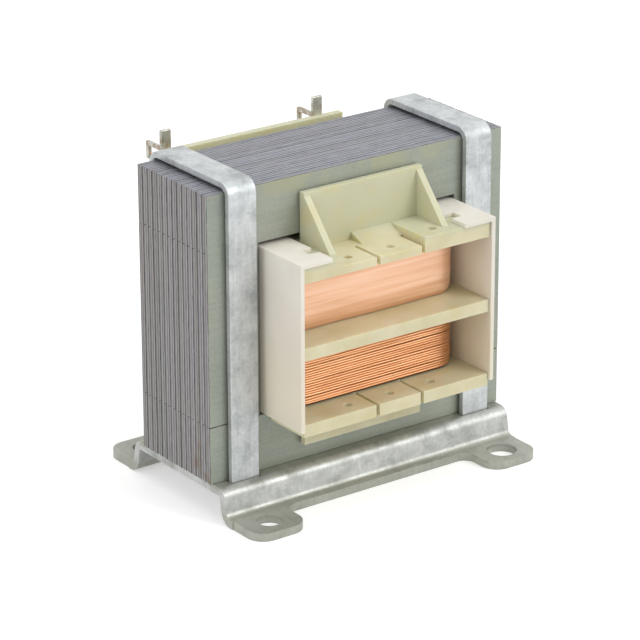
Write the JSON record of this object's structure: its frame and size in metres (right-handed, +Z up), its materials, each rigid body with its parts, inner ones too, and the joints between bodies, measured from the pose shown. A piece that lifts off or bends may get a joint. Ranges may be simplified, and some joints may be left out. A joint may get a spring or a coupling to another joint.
{
  "type": "laminated chassis transformer",
  "caption": "Small laminated transformer: interleaved E and I core on a folded foot plate with two straps, and a three-flange former with an upper and a lower coil.",
  "frame": {"origin": "on the fixing surface, in the middle of the four foot holes", "axes": "+Z up from the fixing surface, +X along the core face from the smaller foot holes to the larger ones, +Y through the stack towards the terminals"},
  "size_m": [0.042, 0.0348, 0.0404],
  "materials": {
    "lamination_e": "oxide-coated core sheet with cut edges",
    "lamination_i": "oxide-coated core sheet with cut edges",
    "foot": "dull zinc plate",
    "strap": "dull zinc plate",
    "former": "moulded translucent cream plastic",
    "shield": "warm white insulating sheet",
    "fine_wire": "enamelled copper, fine wire",
    "heavy_wire": "enamelled copper, heavier wire",
    "tag": "tinned with solder"
  },
  "bodies": {
    "root": {"foot_plate": "foot", "strap_left": "strap", "strap_right": "strap", "former": "former", "shield_left": "shield", "shield_right": "shield", "fine_coil": "fine_wire", "heavy_coil": "heavy_wire", "terminal_top_left": "tag", "terminal_top_right": "tag", "terminal_bottom_left": "tag", "terminal_bottom_right": "tag", "fine_lead_left": "fine_wire", "fine_lead_right": "fine_wire", "heavy_lead_left": "heavy_wire", "heavy_lead_right": "heavy_wire", "i_laminations_top": "lamination_i", "i_laminations_bottom": "lamination_i", "e_lamination_01": "lamination_e", "e_lamination_02": "lamination_e", "e_lamination_03": "lamination_e", "e_lamination_04": "lamination_e", "e_lamination_05": "lamination_e", "e_lamination_06": "lamination_e", "e_lamination_07": "lamination_e", "e_lamination_08": "lamination_e", "e_lamination_09": "lamination_e", "e_lamination_10": "lamination_e", "e_lamination_11": "lamination_e", "e_lamination_12": "lamination_e", "e_lamination_13": "lamination_e", "e_lamination_14": "lamination_e", "e_lamination_15": "lamination_e", "e_lamination_16": "lamination_e", "e_lamination_17": "lamination_e", "e_lamination_18": "lamination_e", "e_lamination_19": "lamination_e", "e_lamination_20": "lamination_e", "e_lamination_21": "lamination_e", "e_lamination_22": "lamination_e", "e_lamination_23": "lamination_e", "e_lamination_24": "lamination_e", "e_lamination_25": "lamination_e", "e_lamination_26": "lamination_e", "e_lamination_27": "lamination_e", "e_lamination_28": "lamination_e"}
  },
  "joints": []
}
